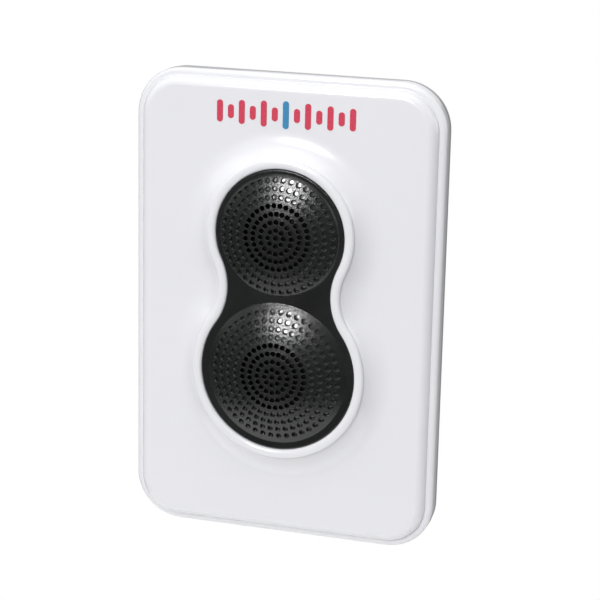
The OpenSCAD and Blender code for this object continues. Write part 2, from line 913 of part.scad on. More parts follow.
module coil_windings() {
    color("peru")
        upright()
            for (p = coil_place)
                translate([p[0], p[1], board_top + coil_flange_t + 0.05])
                    difference() {
                        cylinder(r = coil_r - 0.5, h = coil_h - 2 * coil_flange_t - 0.1);
                        translate([0, 0, -1])
                            cylinder(r = coil_core_r + 0.05, h = coil_h + 2);
                    }
}

module electrolytic_capacitors() {
    color("midnightblue")
        upright()
            for (p = can_place)
                translate([p[0], p[1], board_top])
                    difference() {
                        cylinder(r = can_r, h = can_h);
                        translate([0, 0, 1.4])
                            rotate_extrude()
                                translate([can_r + 0.25, 0])
                                    circle(r = 0.5, $fn = 24);
                        for (a = [0, 60, 120])
                            rotate(a)
                                translate([0, 0, can_h])
                                    cube([can_r * 1.2, 0.3, 0.3], center = true);
                    }
}

module film_capacitors() {
    color("darkred")
        upright()
            for (p = film_place)
                translate([p[0], p[1], board_top])
                    translate([-film_size[0] / 2, -film_size[1] / 2, 0])
                        cube(film_size);
}

module resistors() {
    color("tan")
        upright()
            for (i = [0:resistor_rows - 1], s = [-1, 1])
                translate([s * 5.5, board_low + 18 + i * resistor_gap, board_top + resistor_r])
                    rotate([0, 90, 0]) {
                        cylinder(r = resistor_r, h = resistor_l, center = true, $fn = 32);
                        cylinder(r = 0.3, h = resistor_l + 2.4, center = true, $fn = 24);
                        for (e = [-1, 1])
                            translate([resistor_r / 2, 0, e * (resistor_l / 2 + 1.2)])
                                cube([resistor_r, 0.6, 0.6], center = true);
                    }
}

module indicator_lamp() {
    wall_y = -case_h / 2 + tray_inset;
    color("lime")
        upright()
            translate([0, 0, fit_z]) {
                translate([0, tray_low + 0.1, 0])
                    rotate([-90, 0, 0])
                        cylinder(d = led_flange_d, h = 1);
                translate([0, wall_y + led_d / 2 - 0.6, 0])
                    rotate([-90, 0, 0])
                        cylinder(d = led_d, h = rear_wall + 1 - led_d / 2);
                translate([0, wall_y + led_d / 2 - 0.6, 0])
                    sphere(d = led_d);
                for (s = [-1, 1]) {
                    translate([s * 0.9, tray_low + 3.1, 0])
                        cube([0.5, 4, 0.5], center = true);
                    translate([s * 0.9, tray_low + 4.85, board_top / 2 - fit_z / 2 + 0.125])
                        cube([0.5, 0.5, fit_z - board_top + 0.25], center = true);
                }
            }
}

module power_socket() {
    color([0.1, 0.1, 0.1])
        upright()
            translate([jack_x, jack_face, fit_z])
                difference() {
                    union() {
                        translate([-jack_w / 2, 0, board_top - fit_z])
                            cube([jack_w, jack_l, fit_z - board_top + jack_w / 2]);
                        rotate([90, 0, 0])
                            cylinder(d = jack_nose_d, h = jack_nose);
                    }
                    translate([0, -jack_nose - 1, 0])
                        rotate([-90, 0, 0])
                            cylinder(d = jack_bore_d, h = jack_nose + jack_l - 1);
                }
}

module power_socket_pin() {
    color("silver")
        upright()
            translate([jack_x, jack_face, fit_z]) {
                translate([0, jack_l - 2, 0])
                    rotate([90, 0, 0])
                        cylinder(d = jack_pin_d, h = jack_l - 2 + jack_nose - 1);
            }
}

// Hollow body, open on the face that the knob comes out of
module switch_body() {
    foot_room = [knob_foot_w + switch_travel + 2 * knob_gap, knob_foot_d + 2 * knob_gap,
        knob_h + 1 + 2 * knob_gap];
    neck_room = [knob_w + switch_travel + 2 * knob_gap, switch_wall * 4, knob_h + 2 * knob_gap];
    color("silver")
        upright()
            difference() {
                translate([-switch_x - switch_l / 2, switch_face, board_top])
                    cube([switch_l, switch_d, fit_z - board_top + switch_h / 2]);
                translate([-switch_x, switch_face + switch_wall + foot_room[1] / 2, fit_z])
                    cube(foot_room, center = true);
                translate([-switch_x, switch_face, fit_z])
                    cube(neck_room, center = true);
            }
}

// Knob on its sliding foot, drawn at the middle of its travel
module switch_knob() {
    foot_y = switch_face + switch_wall + knob_gap;
    wall_y = -case_h / 2 + tray_inset;
    rib = 0.5;
    color("black")
        upright()
            translate([-switch_x, 0, fit_z])
                difference() {
                    union() {
                        translate([-knob_foot_w / 2, foot_y, -knob_h / 2 - 0.5])
                            cube([knob_foot_w, knob_foot_d, knob_h + 1]);
                        translate([-knob_w / 2, wall_y - knob_out, -knob_h / 2])
                            cube([knob_w, foot_y - wall_y + knob_out + 0.5, knob_h]);
                    }
                    for (i = [-1:1])
                        translate([i * 1.1, wall_y - knob_out, 0])
                            cube([rib, rib, knob_h + 1], center = true);
                }
}

module case_screws() {
    color("lightgray")
        upright()
            for (p = case_screw_places())
                translate([p[0], p[1], head_seat])
                    pan_screw(case_screw_d, case_head_d, case_screw_l);
}

front_cover();
grille();
rear_cover();
printed_mark();
sounder_cup(lobe_up);  // sounder_cup_upper
sounder_cone(lobe_up);  // sounder_cone_upper
piezo_plate(lobe_up);  // piezo_plate_upper
piezo_ceramic(lobe_up);  // piezo_ceramic_upper
solder_tags(lobe_up);  // solder_tags_upper
leads(lobe_up);  // leads_upper
sounder_cup(lobe_low);  // sounder_cup_lower
sounder_cone(lobe_low);  // sounder_cone_lower
piezo_plate(lobe_low);  // piezo_plate_lower
piezo_ceramic(lobe_low);  // piezo_ceramic_lower
solder_tags(lobe_low);  // solder_tags_lower
leads(lobe_low);  // leads_lower
main_board();
oscillator_chip();
driver_transistors();
coil_bobbins();
coil_windings();
electrolytic_capacitors();
film_capacitors();
resistors();
indicator_lamp();
power_socket();
power_socket_pin();
switch_body();
switch_knob();
case_screws();
board_screws();
grille_screws();
sounder_screws();
wall_pads();
rating_plate();
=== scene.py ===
"""Wall-hung ultrasonic pest repeller: moulded skins, finishes, pale floor, soft light and camera."""
import math

import bmesh
import bpy
from mathutils import Matrix, Vector, geometry


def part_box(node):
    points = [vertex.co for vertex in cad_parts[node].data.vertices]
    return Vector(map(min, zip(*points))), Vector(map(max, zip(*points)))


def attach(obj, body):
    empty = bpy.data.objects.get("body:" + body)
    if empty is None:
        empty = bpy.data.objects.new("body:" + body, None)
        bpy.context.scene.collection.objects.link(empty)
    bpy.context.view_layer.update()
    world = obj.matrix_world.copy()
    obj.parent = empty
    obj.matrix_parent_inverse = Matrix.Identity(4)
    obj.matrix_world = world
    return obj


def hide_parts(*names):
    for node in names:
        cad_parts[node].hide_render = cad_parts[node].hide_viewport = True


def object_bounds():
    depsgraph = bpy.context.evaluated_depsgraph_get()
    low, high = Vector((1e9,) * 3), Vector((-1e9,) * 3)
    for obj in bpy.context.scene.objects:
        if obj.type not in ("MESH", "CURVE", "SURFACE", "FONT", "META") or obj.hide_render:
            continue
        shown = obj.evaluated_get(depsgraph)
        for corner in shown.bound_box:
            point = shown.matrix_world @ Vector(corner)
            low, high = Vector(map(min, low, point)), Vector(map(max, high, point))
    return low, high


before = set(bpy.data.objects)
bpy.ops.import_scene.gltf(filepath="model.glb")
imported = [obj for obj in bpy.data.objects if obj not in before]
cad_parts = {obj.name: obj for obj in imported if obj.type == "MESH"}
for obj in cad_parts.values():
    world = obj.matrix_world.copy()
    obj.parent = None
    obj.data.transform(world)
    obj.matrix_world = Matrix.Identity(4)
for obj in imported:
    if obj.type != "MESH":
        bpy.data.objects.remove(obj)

bl_info = {
    "name": "Wall Pest Repeller",
    "version": (1, 0, 0),
    "blender": (4, 5, 0),
    "location": "View3D > Sidebar > Repeller",
    "description": "Builds the case, grille, finishes and stage of a wall-hung ultrasonic pest repeller",
    "category": "Object",
}

MM = 0.001
CAD_BOX = [list(corner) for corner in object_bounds()]
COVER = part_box("front_cover")
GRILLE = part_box("grille")
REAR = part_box("rear_cover")
BACK_Y = REAR[1].y
MID_Z = (COVER[0].z + COVER[1].z) / 2
CASE_W = COVER[1].x - COVER[0].x
CASE_H = COVER[1].z - COVER[0].z
TONGUE_H = 1 * MM
SPLIT = BACK_Y - REAR[0].y - TONGUE_H
LIP = BACK_Y - COVER[0].y
SKIRT = BACK_Y - GRILLE[1].y

# Small breaks and rounds of the moulded edges, and the fullness of the lip's crown
BREAK = 0.1 * MM
FOOT_BREAK = 0.03 * MM
SEAM_R = 0.25 * MM
SEAM_MIDDLE = (0.08 * MM, 0.07 * MM)
BOSS_BREAK = 0.2 * MM
POST_BREAK = 0.15 * MM
RIM_R = 0.3 * MM
EAR_LIFT = 0.02 * MM
CROWN_POWER = 0.85

# Screw bosses of the front cover: radius, pilot hole's radius and its depth
CASE_BOSS = (3.5 * MM, 1.49 * MM, 11 * MM)
EAR_BOSS = (2.7 * MM, 0.99 * MM, 4 * MM)
CASE_BOSS_FACE = 5 * MM

# Posts for the sounder screws: radius, radius of the face, pilot hole's radius and its depth
SOUNDER_POST = (1.9 * MM, 1.75 * MM, 0.99 * MM, 4 * MM)
EAR_BORE_R = 1.2 * MM

# Holes in each ring, from the inmost; rings from HALF_TURN_FROM on are turned by half a hole
RING_HOLES = (8, 16, 26, 32, 37, 42, 44, 48)
HALF_TURN_FROM = 4
HOLE_SIDES = 16
OPEN_EASE = 0.07 * MM
BLIND_EASE = 0.12 * MM
FLOOR_ROUND = (0.14 * MM, 0.12 * MM)
FLOOR_DISH = 0.03 * MM

# Loose points that keep the grille's triangles even: spacings, and distances in from a dome's foot
FACE_STEP = 1.1 * MM
UNDER_STEP = 1.6 * MM
MARGIN_STEP = 0.7 * MM
FOOT_RINGS = (0.5, 0.36, 0.22, 0.1, 0.0, -0.25)


# ---- Sizes and colours a user would change ----

def length(name, description, default):
    return bpy.props.FloatProperty(name=name, description=description, default=default, min=0.0,
                                   precision=5, subtype="DISTANCE", unit="LENGTH")


def colour(name, description, default):
    return bpy.props.FloatVectorProperty(name=name, description=description, default=default,
                                         size=3, min=0.0, max=1.0, subtype="COLOR")


def angle(name, description, degrees):
    return bpy.props.FloatProperty(name=name, description=description,
                                   default=math.radians(degrees), subtype="ANGLE", unit="ROTATION")


def ring_count(name, description, default):
    return bpy.props.IntProperty(name=name, description=description, default=default, min=1, max=8)


class RepellerCaseSizes(bpy.types.PropertyGroup):
    """Sizes of the front cover"""
    width: length("Width", "Width of the case", CASE_W)
    height: length("Height", "Height of the case", CASE_H)
    corner_r: length("Corner radius", "Radius of the case corners", 13 * MM)
    wall: length("Wall", "Wall thickness of the front cover", 2.2 * MM)
    side_depth: length("Side wall", "Depth of the front cover's side wall", 3.6 * MM)
    shoulder_r: length("Shoulder", "Radius between side wall and flange", 1.2 * MM)
    flange_w: length("Flange", "Width from the side to the foot of the raised panel", 2 * MM)
    panel_rise: length("Panel rise", "Height of the raised panel above the flange", 2.5 * MM)
    lip_w: length("Lip width", "Width of the collar's lip", 2.7 * MM)
    lip_round: length("Lip crown", "Height of the lip's rounded crown", 1 * MM)
    ledge_t: length("Ledge", "Thickness of the ledge under the lip", 1.8 * MM)
    lip_stand: length("Lip stand", "Height of the lip's crest above the flank", 1.2 * MM)
    flank_w: length("Flank width", "Width of the collar's hollow flank", 7.3 * MM)
    pocket_w: length("Pocket", "Width of the pocket for the grille's flange", 2.05 * MM)


class RepellerGrilleSizes(bpy.types.PropertyGroup):
    """Sizes of the opening and the grille"""
    lobe_r_up: length("Upper lobe", "Radius of the opening's upper lobe", 18.2 * MM)
    lobe_r_low: length("Lower lobe", "Radius of the opening's lower lobe", 21.9 * MM)
    lobe_y_up: length("Upper height", "Height of the upper lobe above the middle", 22.3 * MM)
    lobe_y_low: length("Lower depth", "Depth of the lower lobe below the middle", 16.3 * MM)
    neck_r: length("Neck", "Radius of the hollow curve at the neck", 17.9 * MM)
    gap: length("Gap", "Gap between grille and opening", 0.15 * MM)
    sink: length("Sink", "How far the rim sits below the lip's crest", 0.6 * MM)
    sheet: length("Sheet", "Thickness of the grille", 1.6 * MM)
    flange_grip: length("Flange", "Width of the holding flange", 1.9 * MM)
    flange_t: length("Flange thickness", "Thickness of the holding flange", 1.2 * MM)
    skirt_t: length("Skirt", "Thickness of the skirt", 0.9 * MM)
    dome_rim_up: length("Upper rim", "Flat rim round the upper dome", 1.15 * MM)
    dome_h_up: length("Upper dome", "Height of the upper dome", 3.5 * MM)
    dome_rim_low: length("Lower rim", "Flat rim round the lower dome", 1.95 * MM)
    dome_h_low: length("Lower dome", "Height of the lower dome", 4.5 * MM)
    dome_step: length("Dome step", "Small step at the upper dome's foot", 0.35 * MM)
    hole_pitch: length("Hole pitch", "Distance from ring to ring", 2.2 * MM)
    hole_d: length("Hole", "Diameter of each hole", 1.4 * MM)
    ear_r: length("Ear radius", "Half the width of each screw ear on the skirt", 2.7 * MM)
    ear_t: length("Ear thickness", "Thickness of each screw ear", 1.5 * MM)
    dimple: length("Dimple", "Depth of the blind holes outside the sounder's mouth", 0.8 * MM)
    through_rings: ring_count("Open rings", "Rings of holes that go right through", 4)
    rings_up: ring_count("Upper rings", "Rings of holes on the upper dome", 7)
    rings_low: ring_count("Lower rings", "Rings of holes on the lower dome", 8)


class RepellerColours(bpy.types.PropertyGroup):
    """Colours of the visible finishes"""
    white: colour("White case", "Gloss white of the front cover", (0.80, 0.80, 0.83))
    black: colour("Black grille", "Satin black of the grille", (0.0065, 0.007, 0.0068))
    grey: colour("Grey cover", "Grey of the rear cover", (0.37, 0.37, 0.38))
    mark_side: colour("Mark", "Ink of the mark's side bars", (0.62, 0.055, 0.10))
    mark_middle: colour("Mark middle", "Ink of the mark's middle bar", (0.05, 0.25, 0.46))


class RepellerView(bpy.types.PropertyGroup):
    """Where the camera stands"""
    azimuth: angle("Azimuth", "Camera's turn to the right", 17.06)
    elevation: angle("Elevation", "Camera's height angle", 15.01)
    roll: angle("Roll", "Camera's tilt about its own axis", 1.23)
    distance: length("Distance", "Distance of the camera", 553.66 * MM)
    lens: bpy.props.FloatProperty(name="Lens", default=121.03, unit="CAMERA",
                                  description="Focal length on a 36 mm sensor")


# ---- Plans: the case outline and the figure of eight, as points with outward normals ----

def place(x, y, level):
    """Stands a plan point up: x across, y up from the middle of the case, level out from the back"""
    return Vector((x, BACK_Y - level, y + MID_Z))


def turn(angle):
    return Vector((math.cos(angle), math.sin(angle)))


def arc(centre, radius, start, end, count, outward=1):
    """count points from start up to but without end, each with the normal out of the shape"""
    made = []
    for i in range(count):
        way = turn(start + (end - start) * i / count)
        made.append((centre + radius * way, outward * way))
    return made


def eight_outline(s):
    """The opening's edge, anticlockwise from the right-hand end of the upper lobe"""
    gap = s.lobe_y_up + s.lobe_y_low
    reach_up = s.lobe_r_up + s.neck_r
    reach_low = s.lobe_r_low + s.neck_r
    rise = (gap * gap + reach_low ** 2 - reach_up ** 2) / (2 * gap)
    neck_x = math.sqrt(reach_low ** 2 - rise * rise)
    neck_y = rise - s.lobe_y_low
    up = math.atan2(neck_y - s.lobe_y_up, neck_x)
    low = math.atan2(rise, neck_x)
    right, left = Vector((neck_x, neck_y)), Vector((-neck_x, neck_y))
    centre_up, centre_low = Vector((0, s.lobe_y_up)), Vector((0, -s.lobe_y_low))
    return (arc(centre_up, s.lobe_r_up, up, math.pi - up, 120)
            + arc(left, s.neck_r, -up, -low, 26, -1)
            + arc(centre_low, s.lobe_r_low, math.pi - low, 2 * math.pi + low, 140)
            + arc(right, s.neck_r, math.pi + low, math.pi + up, 26, -1))


def case_outline(w, h, r, corner_steps=18, side_step=5 * MM):
    """The case's outer edge, anticlockwise from the right-hand side"""
    made = []
    corners = [(w / 2 - r, h / 2 - r), (r - w / 2, h / 2 - r),
               (r - w / 2, r - h / 2), (w / 2 - r, r - h / 2)]
    for i, (x, y) in enumerate(corners):
        centre = Vector((x, y))
        made += arc(centre, r, i * math.pi / 2, (i + 1) * math.pi / 2, corner_steps)
        start = centre + r * turn((i + 1) * math.pi / 2)
        following = Vector(corners[(i + 1) % 4]) + r * turn((i + 1) * math.pi / 2)
        steps = max(2, round((following - start).length / side_step))
        way = turn((i + 1) * math.pi / 2)
        made += [(start.lerp(following, k / steps), way) for k in range(steps)]
    return made


def inside(point, ring):
    """Whether a plan point lies inside a closed ring of plan points"""
    x, y = point
    hit = False
    for (ax, ay), (bx, by) in zip(ring, ring[-1:] + ring[:-1]):
        if (ay > y) != (by > y) and x < (bx - ax) * (y - ay) / (by - ay) + ax:
            hit = not hit
    return hit


# ---- Shell: vertices and faces gathered ring by ring ----

class Shell:
    """A closed moulded shell, gathered as rings of vertices and the faces between them"""

    def __init__(self):
        self.points = []
        self.faces = []
        self.second = []

    def ring(self, plan, level):
        """Adds a ring of plan points at a level, or at each point's own level"""
        start = len(self.points)
        for i, (x, y) in enumerate(plan):
            self.points.append(place(x, y, level[i] if isinstance(level, list) else level))
        return list(range(start, len(self.points)))

    def band(self, lower, upper):
        """Quads from one ring to the next, facing right of the walking direction"""
        n = len(lower)
        for i in range(n):
            j = (i + 1) % n
            self.faces.append((lower[i], lower[j], upper[j], upper[i]))

    def join(self, rings, inward=False):
        """Bands from each ring to the next; inward turns their faces over"""
        for a, b in zip(rings, rings[1:]):
            self.band(*((b, a) if inward else (a, b)))

    def sweep(self, outline, section, inward=False):
        """Carries a section of (offset, level) pairs round an outline; gives its first and last ring"""
        rings = [self.ring(offset(outline, grow), level) for grow, level in section]
        self.join(rings, inward)
        return rings[0], rings[-1]

    def fan(self, ring, x, y, level):
        """Closes a ring towards one middle point"""
        self.points.append(place(x, y, level))
        middle = len(self.points) - 1
        n = len(ring)
        for i in range(n):
            self.faces.append((ring[i], ring[(i + 1) % n], middle))

    def sheet(self, outer, holes, extra, level_of, flip=False):
        """Fills the plan between an outer ring and inner rings with triangles, through extra points"""
        rings = [outer] + holes
        index = [i for ring in rings for i in ring]
        flat = [Vector((self.points[i].x, self.points[i].z - MID_Z)) / MM for i in index]
        edges, at = [], 0
        for ring in rings:
            n = len(ring)
            edges += [(at + k, at + (k + 1) % n) for k in range(n)]
            at += n
        for x, y in extra:
            self.points.append(place(x, y, level_of(x, y)))
            index.append(len(self.points) - 1)
            flat.append(Vector((x, y)) / MM)
        done = geometry.delaunay_2d_cdt(flat, edges, [], 0, 1e-6)
        spots, triangles, origin = done[0], done[2], done[3]
        outer_plan = [tuple(flat[k]) for k in range(len(outer))]
        hole_of = {}
        at = len(outer)
        for number, ring in enumerate(holes):
            for k in range(len(ring)):
                hole_of[at + k] = number
            at += len(ring)
        for tri in triangles:
            ids = [origin[k][0] for k in tri]
            owners = {hole_of.get(k, -1) for k in ids}
            if len(owners) == 1 and owners != {-1}:
                continue
            if all(k < len(outer) for k in ids):
                middle = (spots[tri[0]] + spots[tri[1]] + spots[tri[2]]) / 3
                if not inside(tuple(middle), outer_plan):
                    continue
            face = tuple(index[k] for k in ids)
            self.faces.append(face[::-1] if flip else face)

    def piece(self, name, material, second=None, sharp=math.radians(28)):
        """Closes the shell into one object; faces listed in self.second take the second material"""
        mesh = bpy.data.meshes.new(name)
        mesh.from_pydata([tuple(p) for p in self.points], [], self.faces)
        for number in self.second:
            mesh.polygons[number].material_index = 1
        build = bmesh.new()
        build.from_mesh(mesh)
        bmesh.ops.recalc_face_normals(build, faces=build.faces)
        loose = [e for e in build.edges if len(e.link_faces) != 2]
        if loose:
            raise RuntimeError(f"{name} is not closed: {len(loose)} open edges")
        for face in build.faces:
            face.smooth = True
        build.to_mesh(mesh)
        build.free()
        mesh.set_sharp_from_angle(angle=sharp)
        mesh.materials.append(material)
        if second:
            mesh.materials.append(second)
        piece = bpy.data.objects.new(name, mesh)
        bpy.context.scene.collection.objects.link(piece)
        even = piece.modifiers.new("Even shading", "WEIGHTED_NORMAL")
        even.keep_sharp = True
        even.weight = 100
        return piece


def offset(outline, grow):
    return [tuple(p + grow * n) for p, n in outline]


def circle(centre, radius, count):
    return [tuple(centre + radius * turn(2 * math.pi * i / count)) for i in range(count)]


def steps_to(end, steps):
    """Even steps from zero up to and with end"""
    return [end * k / steps for k in range(steps + 1)]


def grid_inside(w, h, step):
    """Loose points that keep a flat's triangles even"""
    made = []
    rows = int(h / step)
    columns = int(w / step)
    for j in range(rows + 1):
        for i in range(columns + 1):
            shift = 0.5 * (j % 2)
            made.append((-w / 2 + w * (i + shift) / (columns + 0.5), -h / 2 + h * j / rows))
    return made


# ---- Finishes ----

def plastic(name, tint, roughness, **sockets):
    """A principled finish whose constant values sit on the shader's own sockets"""
    material = bpy.data.materials.new(name)
    material.use_nodes = True
    shader = material.node_tree.nodes["Principled BSDF"]
    shader.inputs["Base Color"].default_value = (*tint, 1)
    shader.inputs["Roughness"].default_value = roughness
    for socket, value in sockets.items():
        shader.inputs[socket.replace("_", " ").title().replace("Ior", "IOR")].default_value = value
    return material


def shader_of(material):
    return material.node_tree.nodes["Principled BSDF"]


def noise(material, scale, detail=3.0, stretch=(1, 1, 1)):
    """Noise in the object's own metres"""
    tree = material.node_tree
    where = tree.nodes.new("ShaderNodeTexCoord")
    fit = tree.nodes.new("ShaderNodeMapping")
    fit.inputs["Scale"].default_value = stretch
    made = tree.nodes.new("ShaderNodeTexNoise")
    made.inputs["Scale"].default_value = scale
    made.inputs["Detail"].default_value = detail
    tree.links.new(where.outputs["Object"], fit.inputs["Vector"])
    tree.links.new(fit.outputs["Vector"], made.inputs["Vector"])
    return made


def pattern(material, kind):
    """A texture, or another node, fed with the object's own metres"""
    tree = material.node_tree
    where = tree.nodes.new("ShaderNodeTexCoord")
    made = tree.nodes.new(kind)
    tree.links.new(where.outputs["Object"], made.inputs["Vector"])
    return made


def vary_colour(material, source, low, high, dark, light):
    """Base colour runs from dark to light as the source runs from low to high"""
    tree = material.node_tree
    ramp = tree.nodes.new("ShaderNodeValToRGB")
    ramp.color_ramp.elements[0].position = low
    ramp.color_ramp.elements[0].color = (*dark, 1)
    ramp.color_ramp.elements[1].position = high
    ramp.color_ramp.elements[1].color = (*light, 1)
    tree.links.new(source.outputs[0], ramp.inputs["Fac"])
    tree.links.new(ramp.outputs["Color"], shader_of(material).inputs["Base Color"])
    return ramp


def vary_roughness(material, source, smooth, rough):
    tree = material.node_tree
    spread = tree.nodes.new("ShaderNodeMapRange")
    spread.inputs["From Min"].default_value = 0.3
    spread.inputs["From Max"].default_value = 0.7
    spread.inputs["To Min"].default_value = smooth
    spread.inputs["To Max"].default_value = rough
    tree.links.new(source.outputs[0], spread.inputs["Value"])
    tree.links.new(spread.outputs["Result"], shader_of(material).inputs["Roughness"])


def raise_grain(material, source, strength, depth):
    tree = material.node_tree
    bump = tree.nodes.new("ShaderNodeBump")
    bump.inputs["Strength"].default_value = strength
    bump.inputs["Distance"].default_value = depth
    tree.links.new(source.outputs[0], bump.inputs["Height"])
    tree.links.new(bump.outputs["Normal"], shader_of(material).inputs["Normal"])
    return bump


def shade(tint, factor):
    return tuple(min(1.0, c * factor) for c in tint)


def grained(name, tint, roughness, grain_scale, grain_depth, strength=0.6, spread=0.06,
            **sockets):
    """Moulded or coated stuff: a fine grain, slightly uneven gloss and colour"""
    material = plastic(name, tint, roughness, **sockets)
    broad = noise(material, 60, 2)
    vary_colour(material, broad, 0.3, 0.7, shade(tint, 1 - spread), shade(tint, 1 + spread))
    vary_roughness(material, broad, roughness - 0.04, roughness + 0.04)
    raise_grain(material, noise(material, grain_scale, 2), strength, grain_depth)
    return material


def gloss_white(c):
    material = plastic("gloss_white_plastic", c.white, 0.16, ior=1.5, coat_weight=0.35,
                       coat_roughness=0.06, subsurface_weight=0.0)
    flow = noise(material, 22, 1.5)
    vary_colour(material, flow, 0.3, 0.7, shade(c.white, 0.992), shade(c.white, 1.006))
    vary_roughness(material, flow, 0.14, 0.2)
    raise_grain(material, noise(material, 380, 1), 0.06, 0.02 * MM)
    return material


def satin_black(c):
    material = plastic("satin_black_plastic", c.black, 0.23, ior=1.6)
    broad = noise(material, 90, 2)
    vary_colour(material, broad, 0.3, 0.7, shade(c.black, 0.85), shade(c.black, 1.2))
    vary_roughness(material, broad, 0.2, 0.26)
    raise_grain(material, noise(material, 2600, 3), 0.8, 0.075 * MM)
    return material


def polished_black_with_painted_sheen(c):
    """The tool-polished floors of the blind holes: glossier, and lighter than the grille's black as a
    painted sheen
    """
    # the 1.3 lift and the 1.1 to 1.5 colour range make the floors lighter than the grille: painted sheen
    material = plastic("polished_black_plastic", shade(c.black, 1.3), 0.2, ior=1.56,
                       coat_weight=0.5, coat_roughness=0.12)
    broad = noise(material, 200, 2)
    vary_colour(material, broad, 0.3, 0.7, shade(c.black, 1.1), shade(c.black, 1.5))
    vary_roughness(material, broad, 0.16, 0.24)
    return material


def grey_moulding(c):
    return grained("grey_moulded_plastic", c.grey, 0.42, 2600, 0.03 * MM, 0.5, 0.03, ior=1.5)


def printed_ink(c, half_bar):
    """Two screen-printed inks, the second on the middle bar only"""
    material = plastic("screen_printed_ink", c.mark_side, 0.3, ior=1.5)
    tree = material.node_tree
    split = pattern(material, "ShaderNodeSeparateXYZ")
    near = tree.nodes.new("ShaderNodeMath")
    near.operation = "ABSOLUTE"
    test = tree.nodes.new("ShaderNodeMath")
    test.operation = "LESS_THAN"
    test.inputs[1].default_value = half_bar
    ramp = tree.nodes.new("ShaderNodeValToRGB")
    ramp.color_ramp.interpolation = "CONSTANT"
    ramp.color_ramp.elements[0].color = (*c.mark_side, 1)
    ramp.color_ramp.elements[1].position = 0.5
    ramp.color_ramp.elements[1].color = (*c.mark_middle, 1)
    tree.links.new(split.outputs["X"], near.inputs[0])
    tree.links.new(near.outputs[0], test.inputs[0])
    tree.links.new(test.outputs[0], ramp.inputs["Fac"])
    tree.links.new(ramp.outputs["Color"], shader_of(material).inputs["Base Color"])
    film = noise(material, 3000, 2)
    vary_roughness(material, film, 0.24, 0.38)
    raise_grain(material, film, 0.25, 0.01 * MM)
    return material


def metal(name, tint, roughness, scale, stretch=(1, 1, 1)):
    """Bare or plated metal with drawn or cast marks"""
    material = plastic(name, tint, roughness, metallic=1.0)
    marks = noise(material, scale, 3, stretch)
    vary_colour(material, marks, 0.25, 0.75, shade(tint, 0.86), shade(tint, 1.06))
    vary_roughness(material, marks, roughness - 0.06, roughness + 0.1)
    raise_grain(material, marks, 0.2, 0.02 * MM)
    return material


def wound_wire(name, tint, turns_per_metre):
    """Enamelled wire lying turn on turn, darker between the turns as painted shade"""
    material = plastic(name, tint, 0.28, metallic=0.85, coat_weight=0.6, coat_roughness=0.15)
    wave = pattern(material, "ShaderNodeTexWave")
    wave.bands_direction = "Y"
    wave.inputs["Scale"].default_value = turns_per_metre
    wave.inputs["Distortion"].default_value = 0.6
    # the darker half of each turn is painted shade in the groove between round wires
    ramp = vary_colour(material, wave, 0.0, 0.5, shade(tint, 0.25), tint)
    ramp.color_ramp.interpolation = "EASE"
    raise_grain(material, wave, 0.7, 0.1 * MM)
    return material


def board_laminate():
    """Green solder mask with faint copper areas under it"""
    tint = (0.02, 0.13, 0.05)
    material = plastic("board_solder_mask", tint, 0.3, ior=1.5, coat_weight=0.4, coat_roughness=0.15)
    tracks = pattern(material, "ShaderNodeTexBrick")
    for socket, factor in (("Color1", 1.6), ("Color2", 1.25), ("Mortar", 0.7)):
        tracks.inputs[socket].default_value = (*shade(tint, factor), 1)
    tracks.inputs["Scale"].default_value = 160
    tracks.inputs["Mortar Size"].default_value = 0.06
    material.node_tree.links.new(tracks.outputs["Color"], shader_of(material).inputs["Base Color"])
    raise_grain(material, noise(material, 2500, 2), 0.3, 0.02 * MM)
    return material


def banded_coat(name, tint, bands):
    """Resistor lacquer with rings of other colours along its length"""
    material = plastic(name, tint, 0.35, coat_weight=0.4, coat_roughness=0.1)
    wave = pattern(material, "ShaderNodeTexWave")
    wave.bands_direction = "X"
    wave.inputs["Scale"].default_value = bands
    vary_colour(material, wave, 0.82, 0.9, tint, (0.22, 0.06, 0.02))
    raise_grain(material, noise(material, 1800, 2), 0.3, 0.03 * MM)
    return material


def clear_lens():
    material = plastic("lamp_lens", (0.75, 0.93, 0.78), 0.12, ior=1.5, transmission_weight=0.55)
    cloud = noise(material, 700, 2)
    vary_roughness(material, cloud, 0.08, 0.2)
    raise_grain(material, cloud, 0.1, 0.01 * MM)
    return material


def label_foil():
    """Silvered film with a fine brushed lie"""
    material = plastic("label_foil", (0.72, 0.73, 0.74), 0.3, metallic=0.6)
    brushed = noise(material, 900, 3, (0.05, 1, 1))
    vary_colour(material, brushed, 0.3, 0.7, (0.62, 0.63, 0.64), (0.8, 0.8, 0.81))
    vary_roughness(material, brushed, 0.26, 0.42)
    raise_grain(material, brushed, 0.15, 0.01 * MM)
    return material


def rubber():
    return grained("pad_rubber", (0.05, 0.05, 0.052), 0.75, 1500, 0.06 * MM, 0.8, 0.15, ior=1.45)


def paper_cone():
    # the near-black colour is painted shade: it keeps the cone's glint through the open holes dull
    return grained("paper_cone", (0.026, 0.025, 0.024), 0.85, 1200, 0.09 * MM, 0.8, 0.18)


def dress(material, *nodes):
    """Puts a finish on carried pieces"""
    for name in nodes:
        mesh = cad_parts[name].data
        for slot in range(max(1, len(mesh.materials))):
            if mesh.materials:
                mesh.materials[slot] = material
            else:
                mesh.materials.append(material)


# ---- Operators: one for each piece or group of like pieces, and one for the stage ----

